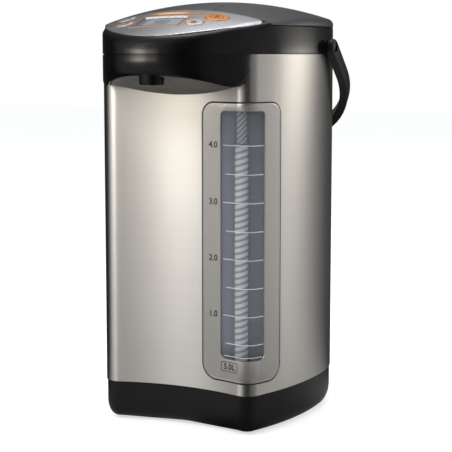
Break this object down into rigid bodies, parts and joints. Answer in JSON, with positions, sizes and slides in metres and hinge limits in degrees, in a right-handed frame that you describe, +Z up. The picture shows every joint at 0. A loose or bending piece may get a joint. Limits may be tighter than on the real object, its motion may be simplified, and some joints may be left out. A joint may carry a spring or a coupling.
{
  "type": "electric thermo pot",
  "caption": "Electric hot-water thermo pot: brushed steel shell, black base and spout head, wrap-round level window, keys, hinged lid, carrying bail.",
  "frame": {"origin": "bottom centre of the bounding box, on the floor", "axes": "+X towards the level window side, -Y towards the front with the spout, +Z up"},
  "size_m": [0.22, 0.2898, 0.3892],
  "materials": {
    "black_plastic": "satin, moulded",
    "collar_plastic": "satin, moulded",
    "lid_plastic": "satin, dark grey",
    "guard_plastic": "satin, grey brown",
    "brushed_shell": "upright brushed grain under clear coat",
    "frame_metallic": "metallic paint, satin",
    "clear_glass": "clear, polished",
    "clear_tube": "clear, polished",
    "water": "clear water",
    "gauge_grey": "matt grey",
    "panel_silver": "silver paint, satin",
    "key_orange": "satin",
    "key_silver": "silver paint, satin",
    "display_grey": "clear window over a display",
    "steel_polished": "polished stainless steel",
    "steel_plain": "plain stainless steel",
    "rubber_black": "matt",
    "silicone": "matt translucent white",
    "white_plastic": "heat resistant, natural",
    "brass_contact": "polished",
    "board_green": "solder mask",
    "parts_dark": "mixed",
    "mica": "mica heater disc"
  },
  "bodies": {
    "pot": {"base_housing": "black_plastic", "bottom_plate": "black_plastic", "rubber_feet": "rubber_black", "base_screws": "steel_plain", "power_inlet": "black_plastic", "inlet_pins": "brass_contact", "power_board": "board_green", "board_parts": "parts_dark", "motor_case": "steel_plain", "pump_housing": "white_plastic", "pump_cover": "white_plastic", "inlet_hose": "silicone", "outlet_hose": "silicone", "vessel_stand": "steel_plain", "heater": "mica", "heater_clamp": "steel_plain", "thermistor": "steel_plain", "vessel_inner": "steel_polished", "vessel_outer": "steel_plain", "steel_shell": "brushed_shell", "window_frame": "frame_metallic", "window_glass": "clear_glass", "gauge_back": "gauge_grey", "level_tube": "clear_tube", "tube_water": "water", "tube_seals": "rubber_black", "top_hose": "silicone", "tip_valve": "white_plastic", "nozzle": "black_plastic", "upper_body": "collar_plastic", "deck_plate": "black_plastic", "beak_cover": "collar_plastic", "spout_guard": "guard_plastic", "vessel_gasket": "silicone", "mouth_ring": "black_plastic", "mouth_screws": "steel_plain", "control_panel": "panel_silver", "display_lens": "display_grey", "display_module": "parts_dark", "panel_board": "board_green", "key_switches": "parts_dark", "hinge_pin": "steel_plain", "bail_pins": "black_plastic"},
    "lid": {"lid_cover": "lid_plastic", "lid_base": "lid_plastic", "inner_lid": "steel_polished", "lid_gasket": "silicone", "steam_vent": "lid_plastic", "steam_duct": "white_plastic", "lever_pin": "steel_plain", "lever_spring": "steel_plain"},
    "lever": {"lid_lever": "lid_plastic"},
    "bail": {"bail_handle": "black_plastic"},
    "motor_rotor": {"motor_magnet": "parts_dark"},
    "pump_rotor": {"impeller": "white_plastic"},
    "dispense_key": {"key_dispense": "key_orange"},
    "unlock_key": {"key_unlock": "key_silver"},
    "timer_key": {"key_timer": "key_silver"},
    "heat_key": {"key_heat": "key_silver"}
  },
  "joints": [
    {"name": "lid_hinge", "type": "hinge", "parent": "pot", "child": "lid", "pos_m": [0, 0.1345, 0.366], "axis": [-1, 0, 0], "range_deg": [0, 80]},
    {"name": "bail_swing", "type": "hinge", "parent": "pot", "child": "bail", "pos_m": [0, 0.0281, 0.347], "axis": [1, 0, 0], "range_deg": [0, 200]},
    {"name": "lever_lift", "type": "hinge", "parent": "lid", "child": "lever", "pos_m": [0, -0.0345, 0.38], "axis": [-1, 0, 0], "range_deg": [0, 12], "stiffness_Nm_per_rad": 0.15, "springref_deg": -6.88},
    {"name": "dispense_press", "type": "slide", "parent": "pot", "child": "dispense_key", "axis": [0, 0, -1], "range_m": [0, 0.001], "stiffness_N_per_m": 250, "springref_m": -0.0006},
    {"name": "unlock_press", "type": "slide", "parent": "pot", "child": "unlock_key", "axis": [0, 0, -1], "range_m": [0, 0.001], "stiffness_N_per_m": 250, "springref_m": -0.0006},
    {"name": "timer_press", "type": "slide", "parent": "pot", "child": "timer_key", "axis": [0, 0, -1], "range_m": [0, 0.001], "stiffness_N_per_m": 250, "springref_m": -0.0006},
    {"name": "heat_press", "type": "slide", "parent": "pot", "child": "heat_key", "axis": [0, 0, -1], "range_m": [0, 0.001], "stiffness_N_per_m": 250, "springref_m": -0.0006},
    {"name": "motor_spin", "type": "hinge", "parent": "pot", "child": "motor_rotor", "pos_m": [0.02, -0.0169, 0.034], "axis": [0, 0, 1], "continuous": true},
    {"name": "impeller_spin", "type": "hinge", "parent": "pot", "child": "pump_rotor", "pos_m": [0.02, -0.0169, 0.028], "axis": [0, 0, 1], "continuous": true}
  ],
  "couplings": [
    {"joint": "motor_spin", "follows": "impeller_spin", "ratio": 1}
  ]
}
